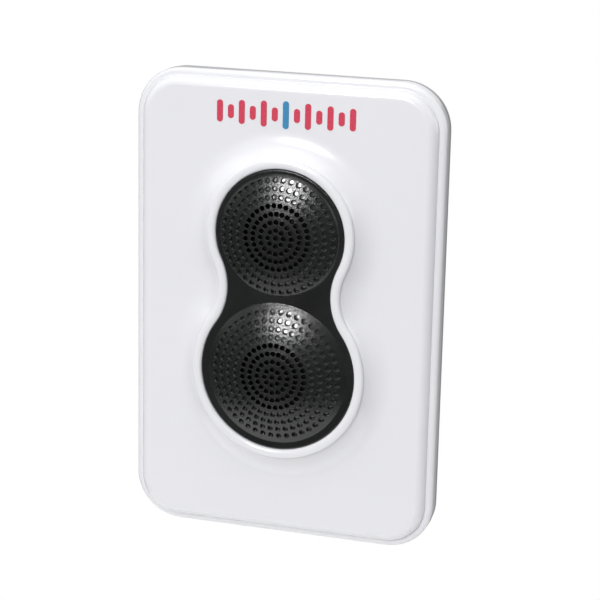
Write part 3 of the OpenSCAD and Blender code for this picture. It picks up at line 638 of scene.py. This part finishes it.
class REPELLER_OT_front_cover(bpy.types.Operator):
    """Mould the front cover: rounded panel, collar, lip, ledge and screw bosses"""
    bl_idname = "repeller.front_cover"
    bl_label = "Front cover"

    def execute(self, context):
        s, g = context.scene.repeller_case, context.scene.repeller_grille
        flange = SPLIT + s.side_depth
        panel = flange + s.panel_rise
        under = panel - s.wall
        edge_in = s.flange_w + s.panel_rise
        collar_w = s.lip_w + s.flank_w
        case = case_outline(s.width, s.height, s.corner_r)
        eight = eight_outline(g)
        shell = Shell()

        # edge section, from the panel's flat outwards, down, and back in underneath
        edge = [(edge_in + 0.5 * MM, panel)]
        for a in steps_to(math.pi / 2, 12):
            edge.append((edge_in - s.panel_rise * math.sin(a),
                         flange + BREAK + (s.panel_rise - BREAK) * math.cos(a)))
        edge += [(s.flange_w - FOOT_BREAK, flange + FOOT_BREAK), (s.flange_w - BREAK, flange)]
        for a in steps_to(math.pi / 2, 8):
            edge.append((s.shoulder_r - s.shoulder_r * math.sin(a),
                         flange - s.shoulder_r + s.shoulder_r * math.cos(a)))
        roof = SPLIT + s.side_depth - s.wall
        edge += [(0, SPLIT + SEAM_R), (SEAM_MIDDLE[0], SPLIT + SEAM_MIDDLE[1]), (SEAM_R, SPLIT),
                 (s.wall, SPLIT), (s.wall, roof), (edge_in, roof), (edge_in, under)]
        panel_ring, under_ring = shell.sweep(case, [(-inset, level) for inset, level in edge])

        # collar section, from the panel's flat up the flank, over the lip and down the pocket
        flank_h = LIP - s.lip_stand - panel
        flank_r = (s.flank_w ** 2 + flank_h ** 2) / (2 * flank_h)
        collar = [(collar_w + 0.4 * MM, panel)]
        for run in steps_to(s.flank_w, 18):
            collar.append((collar_w - run, panel + flank_r - math.sqrt(flank_r ** 2 - run ** 2)))
        side = LIP - s.lip_round
        for a in steps_to(math.pi, 16):
            c, n = math.cos(a), math.sin(a)
            u = s.lip_w / 2 + s.lip_w / 2 * math.copysign(abs(c) ** CROWN_POWER, c)
            collar.append((u, side + s.lip_round * n ** CROWN_POWER))
        ledge = LIP - s.ledge_t
        collar += [(0, ledge + BREAK), (BREAK, ledge), (s.pocket_w, ledge), (s.pocket_w, under)]
        foot_ring, pocket_ring = shell.sweep(eight, collar, inward=True)

        # bosses under the panel: four for the case screws and four for the grille's ears
        bosses = []
        for node, (radius, pilot, depth), top in (("case_screws", CASE_BOSS, CASE_BOSS_FACE),
                                                  ("grille_screws", EAR_BOSS, SKIRT + g.ear_t)):
            end = min(under, top + depth) - BOSS_BREAK
            for x, y in screw_places(node):
                centre = Vector((x, y))
                root = shell.ring(circle(centre, radius, 32), under)
                foot = shell.ring(circle(centre, radius, 32), top + BOSS_BREAK)
                face = shell.ring(circle(centre, radius - BOSS_BREAK, 32), top)
                mouth = shell.ring(circle(centre, pilot, 32), top)
                bottom = shell.ring(circle(centre, pilot, 32), end)
                shell.join((root, foot, face, mouth, bottom), inward=True)
                shell.fan(bottom, x, y, end)
                bosses.append(root)

        w, h = s.width - 2 * edge_in, s.height - 2 * edge_in
        eight_keep = offset(eight, collar_w + 2.5 * MM)
        loose = [p for p in grid_inside(w - 5 * MM, h - 5 * MM, 4 * MM)
                 if not inside(p, eight_keep)
                 and in_rounded(p, w - 4 * MM, h - 4 * MM, s.corner_r - edge_in)]
        shell.sheet(panel_ring, [foot_ring], loose, lambda x, y: panel)
        shell.sheet(under_ring, [pocket_ring] + bosses, [], lambda x, y: under, flip=True)
        piece = shell.piece("front_cover_shell", gloss_white(context.scene.repeller_colours))
        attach(piece, "case")
        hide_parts("front_cover")
        return {"FINISHED"}


def in_rounded(point, w, h, r):
    """Whether a plan point lies inside a rectangle with rounded corners"""
    x, y = abs(point[0]), abs(point[1])
    if x > w / 2 or y > h / 2:
        return False
    dx, dy = x - (w / 2 - r), y - (h / 2 - r)
    return dx <= 0 or dy <= 0 or math.hypot(dx, dy) <= r


def screw_places(node):
    """Middles, in the lying plan, of the screws that a carried node holds"""
    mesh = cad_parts[node].data
    groups = []
    for v in mesh.vertices:
        spot = Vector((v.co.x, v.co.z - MID_Z))
        for group in groups:
            if (group[0] - spot).length < 8 * MM:
                group.append(spot)
                break
        else:
            groups.append([spot])
    made = []
    for group in groups:
        xs, ys = [p.x for p in group], [p.y for p in group]
        made.append(((min(xs) + max(xs)) / 2, (min(ys) + max(ys)) / 2))
    return sorted(made)


class REPELLER_OT_grille(bpy.types.Operator):
    """Mould the black grille: two domes with rings of holes, rim, flange, skirt, posts and ears"""
    bl_idname = "repeller.grille"
    bl_label = "Grille"

    def execute(self, context):
        s = context.scene.repeller_grille
        top = LIP - s.sink
        eight = eight_outline(s)
        centre_up, centre_low = Vector((0, s.lobe_y_up)), Vector((0, -s.lobe_y_low))
        foot_up = s.lobe_r_up - s.gap - s.dome_rim_up
        foot_low = s.lobe_r_low - s.gap - s.dome_rim_low

        def cap(r, foot, rise):
            big = (foot * foot + rise * rise) / (2 * rise)
            return math.sqrt(big * big - r * r) - big + rise if r < foot else 0.0

        def level(x, y):
            """Height of the grille's face at a plan point"""
            r = math.hypot(x, y - centre_up.y)
            if r < foot_up:
                ease = min(1.0, (foot_up - r) / (0.45 * MM))
                step = s.dome_step * ease * ease * (3 - 2 * ease)
                return top + step + cap(r, foot_up, s.dome_h_up - s.dome_step)
            r = math.hypot(x, y - centre_low.y)
            if r < foot_low:
                return top + cap(r, foot_low, s.dome_h_low)
            return top

        shell = Shell()
        holes, through, loose_top, loose_under = [], [], [], []
        for centre, foot, rings in ((centre_up, foot_up, s.rings_up),
                                    (centre_low, foot_low, s.rings_low)):
            for k in range(rings + 1):
                count = 1 if k == 0 else RING_HOLES[k - 1]
                phase = 0.5 if k >= HALF_TURN_FROM else 0.0
                goes_through = k <= s.through_rings
                ease = OPEN_EASE if goes_through else BLIND_EASE
                for i in range(count):
                    way = turn(math.pi / 2 + (i + phase) * 2 * math.pi / count)
                    spot = centre + k * s.hole_pitch * way
                    r = s.hole_d / 2
                    plan = circle(spot, r + ease, HOLE_SIDES)
                    mouth = shell.ring(plan, [level(*p) for p in plan])
                    holes.append(mouth)
                    plan = circle(spot, r, HOLE_SIDES)
                    throat = shell.ring(plan, [level(*p) - ease for p in plan])
                    shell.band(mouth, throat)
                    if goes_through:
                        end = shell.ring(plan, [level(*p) - s.sheet for p in plan])
                        shell.band(throat, end)
                        through.append(end)
                    else:
                        deep = shell.ring(plan, [level(*p) - s.dimple + FLOOR_ROUND[1] for p in plan])
                        shell.band(throat, deep)
                        plan = circle(spot, r - FLOOR_ROUND[0], HOLE_SIDES)
                        floor = shell.ring(plan, [level(*p) - s.dimple for p in plan])
                        shell.band(deep, floor)
                        start = len(shell.faces)
                        shell.fan(floor, *spot, level(*spot) - s.dimple - FLOOR_DISH)
                        shell.second += range(start, len(shell.faces))
            # loose points: between the rings and over the bare margin, then the foot itself
            for k in range(rings + 1):
                r = (k + 0.5) * s.hole_pitch
                if k < rings:
                    loose_top += circle(centre, r, max(10, int(2 * math.pi * r / FACE_STEP)))
                loose_under += circle(centre, r, max(10, int(2 * math.pi * r / UNDER_STEP)))
            r = (rings + 0.5) * s.hole_pitch
            last = foot - 0.5 * MM
            while r < last - 0.25 * MM:
                loose_top += circle(centre, r, 110)
                r += MARGIN_STEP
            for back in FOOT_RINGS:
                loose_top += circle(centre, foot - back * MM, 180)
            loose_under += circle(centre, foot, 120)

        # rim: rounded edge, outer face, flange, skirt and back up inside to the underside
        edge = -s.gap
        rim = [(edge - 0.75 * MM, top), (edge - RIM_R, top)]
        for a in steps_to(math.pi / 2, 5)[1:]:
            rim.append((edge - RIM_R * (1 - math.sin(a)), top - RIM_R * (1 - math.cos(a))))
        grip = s.flange_grip
        flange_top = LIP - context.scene.repeller_case.ledge_t - s.gap
        flange_low = flange_top - s.flange_t
        rim += [(edge, flange_top), (grip - BREAK, flange_top), (grip, flange_top - BREAK),
                (grip, flange_low + BREAK), (grip - BREAK, flange_low),
                (edge, flange_low), (edge, SKIRT + BREAK), (edge - BREAK, SKIRT),
                (edge - s.skirt_t + BREAK, SKIRT), (edge - s.skirt_t, SKIRT + BREAK),
                (edge - s.skirt_t, top - s.sheet)]
        face_ring, inner_ring = shell.sweep(eight, rim)

        # posts under the domes, each with its pilot hole
        posts = []
        low = BACK_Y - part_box("sounder_cup_upper")[0].y
        radius, face_r, pilot, depth = SOUNDER_POST
        for x, y in screw_places("sounder_screws"):
            spot = Vector((x, y))
            plan = circle(spot, radius, 20)
            root = shell.ring(plan, [level(*p) - s.sheet for p in plan])
            foot = shell.ring(plan, low + POST_BREAK)
            face = shell.ring(circle(spot, face_r, 20), low)
            bore = shell.ring(circle(spot, pilot, 20), low)
            deep = shell.ring(circle(spot, pilot, 20), low + depth)
            shell.join((root, foot, face, bore, deep), inward=True)
            shell.fan(deep, x, y, low + depth)
            posts.append(root)

        # ears: tabs rooted in the skirt's wall, each with its screw hole
        for x, y in screw_places("grille_screws"):
            spot = Vector((x, y))
            centre, lobe_r = (centre_up, s.lobe_r_up) if y > 0 else (centre_low, s.lobe_r_low)
            out = (spot - centre).normalized()
            side = s.ear_r * Vector((-out.y, out.x))
            root = centre + (lobe_r - s.gap - s.skirt_t / 2) * out
            start = math.atan2(out.y, out.x) - math.pi / 2
            tip = [tuple(spot + s.ear_r * turn(start + a)) for a in steps_to(math.pi, 16)]
            plan = [tuple(root - side)] + tip + [tuple(root + side)]
            low, high = SKIRT + EAR_LIFT, SKIRT + s.ear_t
            bottom, crest = shell.ring(plan, low), shell.ring(plan, high)
            bore = circle(spot, EAR_BORE_R, 20)
            bore_low, bore_high = shell.ring(bore, low), shell.ring(bore, high)
            shell.band(bottom, crest)
            shell.band(bore_high, bore_low)
            shell.sheet(crest, [bore_high], [], lambda x, y: high)
            shell.sheet(bottom, [bore_low], [], lambda x, y: low, flip=True)

        # the face and the underside, through loose points that keep clear of holes, posts and rim
        keep = offset(eight, edge - 1.1 * MM)
        spots = [self.middle(shell, ring) for ring in holes]
        loose_top = self.clear_of(loose_top, spots, 0.98 * MM)
        loose_top = thin_out([p for p in loose_top if inside(p, keep)], 0.08 * MM)
        shell.sheet(face_ring, holes, loose_top, level)
        screws = [Vector(p) for p in screw_places("sounder_screws")]
        spots = [self.middle(shell, ring) for ring in through]
        loose_under = self.clear_of(loose_under, spots, 0.9 * MM)
        loose_under = self.clear_of(loose_under, screws, 2.2 * MM)
        inner = offset(eight, edge - s.skirt_t - 0.3 * MM)
        loose_under = thin_out([p for p in loose_under if inside(p, inner)], 0.3 * MM)
        shell.sheet(inner_ring, through + posts, loose_under, lambda x, y: level(x, y) - s.sheet,
                    flip=True)
        colours = context.scene.repeller_colours
        piece = shell.piece("grille_moulding", satin_black(colours), polished_black_with_painted_sheen(colours))
        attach(piece, "case")
        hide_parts("grille")
        return {"FINISHED"}

    @staticmethod
    def middle(shell, ring):
        """Plan point in the middle of a ring"""
        total = Vector((0, 0))
        for i in ring:
            total += Vector((shell.points[i].x, shell.points[i].z - MID_Z))
        return total / len(ring)

    @staticmethod
    def clear_of(points, spots, reach):
        """Leaves out points that stand closer than reach to any spot"""
        cell = 4 * MM
        grid = {}
        for spot in spots:
            grid.setdefault((math.floor(spot.x / cell), math.floor(spot.y / cell)), []).append(spot)
        kept = []
        for x, y in points:
            i, j = math.floor(x / cell), math.floor(y / cell)
            near = [q for a in (i - 1, i, i + 1) for b in (j - 1, j, j + 1)
                    for q in grid.get((a, b), [])]
            if all(math.hypot(x - q.x, y - q.y) > reach for q in near):
                kept.append((x, y))
        return kept


def thin_out(points, reach):
    """Leaves out points that nearly repeat an earlier one"""
    seen, kept = set(), []
    for x, y in points:
        key = (round(x / reach), round(y / reach))
        if key not in seen:
            seen.add(key)
            kept.append((x, y))
    return kept


class REPELLER_OT_mark(bpy.types.Operator):
    """Ink the row of sound bars above the grille"""
    bl_idname = "repeller.mark"
    bl_label = "Printed mark"

    def execute(self, context):
        dress(printed_ink(context.scene.repeller_colours, half_bar=1.5 * MM), "printed_mark")
        return {"FINISHED"}


class REPELLER_OT_rear_cover(bpy.types.Operator):
    """Finish the rear cover, its rubber wall pads and its blank rating plate"""
    bl_idname = "repeller.rear_cover"
    bl_label = "Rear cover"

    def execute(self, context):
        dress(grey_moulding(context.scene.repeller_colours), "rear_cover")
        dress(rubber(), "wall_pads")
        dress(label_foil(), "rating_plate")
        return {"FINISHED"}


class REPELLER_OT_sounders(bpy.types.Operator):
    """Finish the two sounders behind the grille"""
    bl_idname = "repeller.sounders"
    bl_label = "Sounders"

    def execute(self, context):
        finishes = (
            ("sounder_cup", grained("sounder_cup_plastic", (0.02, 0.02, 0.022), 0.4, 1600, 0.04 * MM)),
            ("sounder_cone", paper_cone()),
            # brass and ceramic are coloured darker than the real parts: painted shade that keeps their
            # glints through the open holes dull
            ("piezo_plate", metal("rolled_brass_with_painted_shade", (0.34, 0.25, 0.12), 0.5, 900, (0.1, 1, 1))),
            ("piezo_ceramic", grained("fired_ceramic_with_painted_shade", (0.055, 0.053, 0.05), 0.5, 2400, 0.03 * MM)),
            ("solder_tags", metal("tinned_tag", (0.78, 0.78, 0.76), 0.35, 1200)),
            ("leads", grained("lead_insulation", (0.55, 0.05, 0.04), 0.45, 900, 0.03 * MM)))
        for node, material in finishes:
            dress(material, f"{node}_upper", f"{node}_lower")
        return {"FINISHED"}


class REPELLER_OT_board(bpy.types.Operator):
    """Finish the circuit board and everything soldered to it"""
    bl_idname = "repeller.board"
    bl_label = "Circuit board"

    def execute(self, context):
        dress(board_laminate(), "main_board")
        black = grained("component_plastic", (0.018, 0.018, 0.02), 0.5, 2200, 0.03 * MM)
        dress(black, "oscillator_chip", "driver_transistors", "coil_bobbins")
        dress(wound_wire("coil_wire", (0.72, 0.32, 0.14), 700), "coil_windings")
        dress(grained("can_sleeve", (0.03, 0.04, 0.12), 0.3, 500, 0.02 * MM), "electrolytic_capacitors")
        dress(grained("dipped_film", (0.42, 0.10, 0.04), 0.3, 800, 0.05 * MM), "film_capacitors")
        dress(banded_coat("resistor_lacquer", (0.62, 0.48, 0.30), 220), "resistors")
        return {"FINISHED"}


class REPELLER_OT_edge_fittings(bpy.types.Operator):
    """Finish the power socket, indicator lamp and mode switch in the lower edge"""
    bl_idname = "repeller.edge_fittings"
    bl_label = "Edge fittings"

    def execute(self, context):
        black = grained("socket_plastic", (0.016, 0.016, 0.017), 0.45, 2000, 0.03 * MM)
        dress(black, "power_socket", "switch_body")
        dress(metal("nickel_pin", (0.80, 0.78, 0.74), 0.22, 1500), "power_socket_pin")
        dress(grained("knob_plastic", (0.022, 0.022, 0.024), 0.5, 2600, 0.04 * MM), "switch_knob")
        dress(clear_lens(), "indicator_lamp")
        return {"FINISHED"}


class REPELLER_OT_screws(bpy.types.Operator):
    """Finish the case, board, grille and sounder screws"""
    bl_idname = "repeller.screws"
    bl_label = "Screws"

    def execute(self, context):
        dress(metal("zinc_plate", (0.70, 0.70, 0.68), 0.32, 1800),
              "case_screws", "board_screws", "grille_screws", "sounder_screws")
        return {"FINISHED"}


FLOOR_DROP = 0.2
FLOOR_STEP = 0.04
FLOOR_RINGS = 8
FLOOR_SIDES = 96

# Sky: height on a scale from straight down to straight up, and grey
SKY = ((0.0, 0.3), (0.42, 0.2), (0.56, 0.34), (0.75, 0.56), (1.0, 0.72))
SKY_BLUE = 1.015
SKY_STRENGTH = 0.66

# Soft boxes: name, azimuth and elevation in degrees, distance and size in metres, watts
SOFTBOXES = (
    ("overhead_softbox", -10, 70, 0.9, 0.9, 2.7),
    ("key_softbox", -10, 22, 1.5, 0.34, 13.4),
    ("left_softbox", -70, 25, 1.2, 0.8, 1.5),
    ("right_softbox", 75, 25, 1.2, 0.5, 1.1),
    ("edge_softbox", 112, 8, 1.2, 0.5, 2.4),
    ("back_softbox", 180, 30, 1.4, 1.0, 2.0))

# Shift of the camera's aim, and the width of its sensor in millimetres
AIM_ACROSS = -4.14 * MM
AIM_DOWN = 2.81 * MM
SENSOR_W = 36


def bearing(azimuth, elevation):
    """Direction from the object; azimuth 0 is straight out of its front"""
    return Vector((math.sin(azimuth) * math.cos(elevation), -math.cos(azimuth) * math.cos(elevation),
                   math.sin(elevation)))


class REPELLER_OT_stage(bpy.types.Operator):
    """Lay the pale floor, hang the soft lights and stand the camera"""
    bl_idname = "repeller.stage"
    bl_label = "Stage"

    def execute(self, context):
        scene = context.scene
        scene.view_settings.view_transform = "Standard"
        scene.view_settings.look = "None"
        self.floor(scene)
        self.lights(scene)
        self.camera(scene)
        return {"FINISHED"}

    def floor(self, scene):
        """A round pale table top some way below the object"""
        drop = CAD_BOX[0][2] - FLOOR_DROP
        n = FLOOR_SIDES
        points = [(0, 0, drop)]
        for step in range(1, FLOOR_RINGS + 1):
            r = FLOOR_STEP * step
            points += [(r * math.cos(a), r * math.sin(a), drop) for a in steps_to(math.tau, n)[:-1]]
        faces = [(0, 1 + k, 1 + (k + 1) % n) for k in range(n)]
        for step in range(FLOOR_RINGS - 1):
            a, b = 1 + n * step, 1 + n * (step + 1)
            faces += [(a + k, b + k, b + (k + 1) % n, a + (k + 1) % n) for k in range(n)]
        mesh = bpy.data.meshes.new("studio_floor")
        mesh.from_pydata(points, [], faces)
        floor = bpy.data.objects.new("studio_floor", mesh)
        scene.collection.objects.link(floor)
        paper = plastic("table_top", (0.8, 0.8, 0.8), 0.9, emission_color=(1, 1, 1, 1),
                        emission_strength=0.28)
        mesh.materials.append(paper)
        raise_grain(paper, noise(paper, 40, 2), 0.05, 0.5 * MM)

    def lights(self, scene):
        """Soft boxes and a grey sky; the camera sees the sky as plain white"""
        world = bpy.data.worlds.new("studio_air")
        world.use_nodes = True
        tree = world.node_tree
        air = tree.nodes["Background"]
        where = tree.nodes.new("ShaderNodeTexCoord")
        split = tree.nodes.new("ShaderNodeSeparateXYZ")
        sky = tree.nodes.new("ShaderNodeValToRGB")
        rise = tree.nodes.new("ShaderNodeMapRange")
        rise.inputs["From Min"].default_value = -1
        rise.inputs["From Max"].default_value = 1
        for spot, grey in SKY:
            step = sky.color_ramp.elements.new(spot)
            step.color = (grey, grey, grey * SKY_BLUE, 1)
        sky.color_ramp.elements.remove(sky.color_ramp.elements[0])
        sky.color_ramp.elements.remove(sky.color_ramp.elements[-1])
        air.inputs["Strength"].default_value = SKY_STRENGTH
        seen = tree.nodes.new("ShaderNodeBackground")
        seen.inputs["Color"].default_value = (1, 1, 1, 1)
        rays = tree.nodes.new("ShaderNodeLightPath")
        either = tree.nodes.new("ShaderNodeMixShader")
        tree.links.new(where.outputs["Generated"], split.inputs["Vector"])
        tree.links.new(split.outputs["Z"], rise.inputs["Value"])
        tree.links.new(rise.outputs["Result"], sky.inputs["Fac"])
        tree.links.new(sky.outputs["Color"], air.inputs["Color"])
        tree.links.new(rays.outputs["Is Camera Ray"], either.inputs["Fac"])
        tree.links.new(air.outputs[0], either.inputs[1])
        tree.links.new(seen.outputs[0], either.inputs[2])
        tree.links.new(either.outputs[0], tree.nodes["World Output"].inputs["Surface"])
        scene.world = world
        middle = Vector((0, BACK_Y - LIP, MID_Z))
        for name, azimuth, elevation, far, size, watts in SOFTBOXES:
            way = bearing(math.radians(azimuth), math.radians(elevation))
            light = bpy.data.lights.new(name, "AREA")
            light.shape = "SQUARE"
            light.size = size
            light.energy = watts
            lamp = bpy.data.objects.new(name, light)
            lamp.location = middle + far * way
            lamp.rotation_euler = way.to_track_quat("Z", "Y").to_euler()
            scene.collection.objects.link(lamp)

    def camera(self, scene):
        """The camera, with its aim moved a little off the middle of the front cover's flange"""
        v = scene.repeller_view
        t = v.roll
        back = bearing(v.azimuth, v.elevation)
        ahead = -back
        right = ahead.cross(Vector((0, 0, 1))).normalized()
        up = right.cross(ahead)
        across = math.cos(t) * right + math.sin(t) * up
        down = math.sin(t) * right - math.cos(t) * up
        aim = Vector((0, BACK_Y - (SPLIT + scene.repeller_case.side_depth), MID_Z))
        spot = aim - AIM_ACROSS * across - AIM_DOWN * down + v.distance * back
        lens = bpy.data.cameras.new("studio_camera")
        lens.lens = v.lens
        lens.sensor_width = SENSOR_W
        lens.clip_start = 10 * MM
        camera = bpy.data.objects.new("studio_camera", lens)
        stand = Matrix((across, -down, back)).transposed().to_4x4()
        camera.matrix_world = Matrix.Translation(spot) @ stand
        scene.collection.objects.link(camera)
        scene.camera = camera


class REPELLER_PT_panel(bpy.types.Panel):
    """Sizes, colours and building steps of the repeller"""
    bl_idname = "REPELLER_PT_panel"
    bl_label = "Pest repeller"
    bl_space_type = "VIEW_3D"
    bl_region_type = "UI"
    bl_category = "Repeller"

    def draw(self, context):
        scene = context.scene
        for group in (getattr(scene, name) for name in NAMES):
            box = self.layout.box()
            for key in group.bl_rna.properties.keys():
                if key not in ("rna_type", "name"):
                    box.prop(group, key)
        for step in STEPS:
            self.layout.operator(step.bl_idname)


GROUPS = (RepellerCaseSizes, RepellerGrilleSizes, RepellerColours, RepellerView)
STEPS = (REPELLER_OT_front_cover, REPELLER_OT_grille, REPELLER_OT_mark, REPELLER_OT_rear_cover,
         REPELLER_OT_sounders, REPELLER_OT_board, REPELLER_OT_edge_fittings, REPELLER_OT_screws,
         REPELLER_OT_stage)
NAMES = ("repeller_case", "repeller_grille", "repeller_colours", "repeller_view")


def register():
    for made in GROUPS + STEPS + (REPELLER_PT_panel,):
        bpy.utils.register_class(made)
    for name, group in zip(NAMES, GROUPS):
        setattr(bpy.types.Scene, name, bpy.props.PointerProperty(type=group))


def unregister():
    for name in NAMES:
        delattr(bpy.types.Scene, name)
    for made in reversed(GROUPS + STEPS + (REPELLER_PT_panel,)):
        bpy.utils.unregister_class(made)


def main():
    register()
    bpy.ops.repeller.front_cover()
    bpy.ops.repeller.grille()
    bpy.ops.repeller.mark()
    bpy.ops.repeller.rear_cover()
    bpy.ops.repeller.sounders()
    bpy.ops.repeller.board()
    bpy.ops.repeller.edge_fittings()
    bpy.ops.repeller.screws()
    bpy.ops.repeller.stage()


if __name__ == "__main__":
    main()
